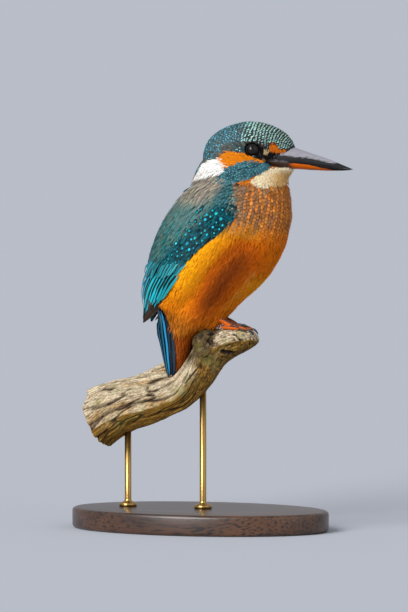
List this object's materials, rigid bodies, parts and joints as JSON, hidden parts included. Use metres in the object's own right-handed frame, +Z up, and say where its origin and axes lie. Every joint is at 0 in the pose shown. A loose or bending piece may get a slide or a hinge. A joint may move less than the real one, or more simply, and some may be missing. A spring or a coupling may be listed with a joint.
{
  "type": "kingfisher",
  "caption": "Life-size still model of a common kingfisher gripping a cut length of driftwood on a plain display stand.",
  "frame": {"origin": "centre of the flat underside of the stand's base", "axes": "+Z up, the bird's body faces +X and its right side is -Y; its head is turned a little to its left"},
  "size_m": [0.1373, 0.08, 0.1965],
  "materials": {
    "plumage_head": "short lying feathers, dark brown-green with pale turquoise bars",
    "plumage_body": "soft fluffed feathers, bright orange, browner on the breast",
    "plumage_tail": "smooth feather vanes, deep blue over rufous coverts",
    "plumage_wing": "smooth feather vanes, dark teal with bright cyan spots and edges",
    "bill_upper": "smooth polished black horn",
    "bill_lower": "smooth orange-red horn with a black tip",
    "eye": "wet dark brown, almost black",
    "foot_skin": "fine scaled orange-red skin",
    "claw": "dark horn",
    "driftwood": "weathered bare wood, deeply grooved along its grain, with some green algae",
    "stand_plinth": "dark stained and waxed hardwood",
    "stand_rod": "brushed and lacquered brass"
  },
  "bodies": {
    "root": {"head": "plumage_head", "neck": "plumage_body", "trunk": "plumage_body", "tail": "plumage_tail", "wing_right": "plumage_wing", "wing_left": "plumage_wing", "bill_upper": "bill_upper", "bill_lower": "bill_lower", "eye_right": "eye", "eye_left": "eye", "leg_right": "foot_skin", "leg_left": "foot_skin", "claw_right_hallux": "claw", "claw_right_inner": "claw", "claw_right_middle": "claw", "claw_right_outer": "claw", "claw_left_hallux": "claw", "claw_left_inner": "claw", "claw_left_middle": "claw", "claw_left_outer": "claw", "perch": "driftwood", "stand_base": "stand_plinth", "stand_rod_front": "stand_rod", "stand_rod_rear": "stand_rod"}
  },
  "joints": []
}
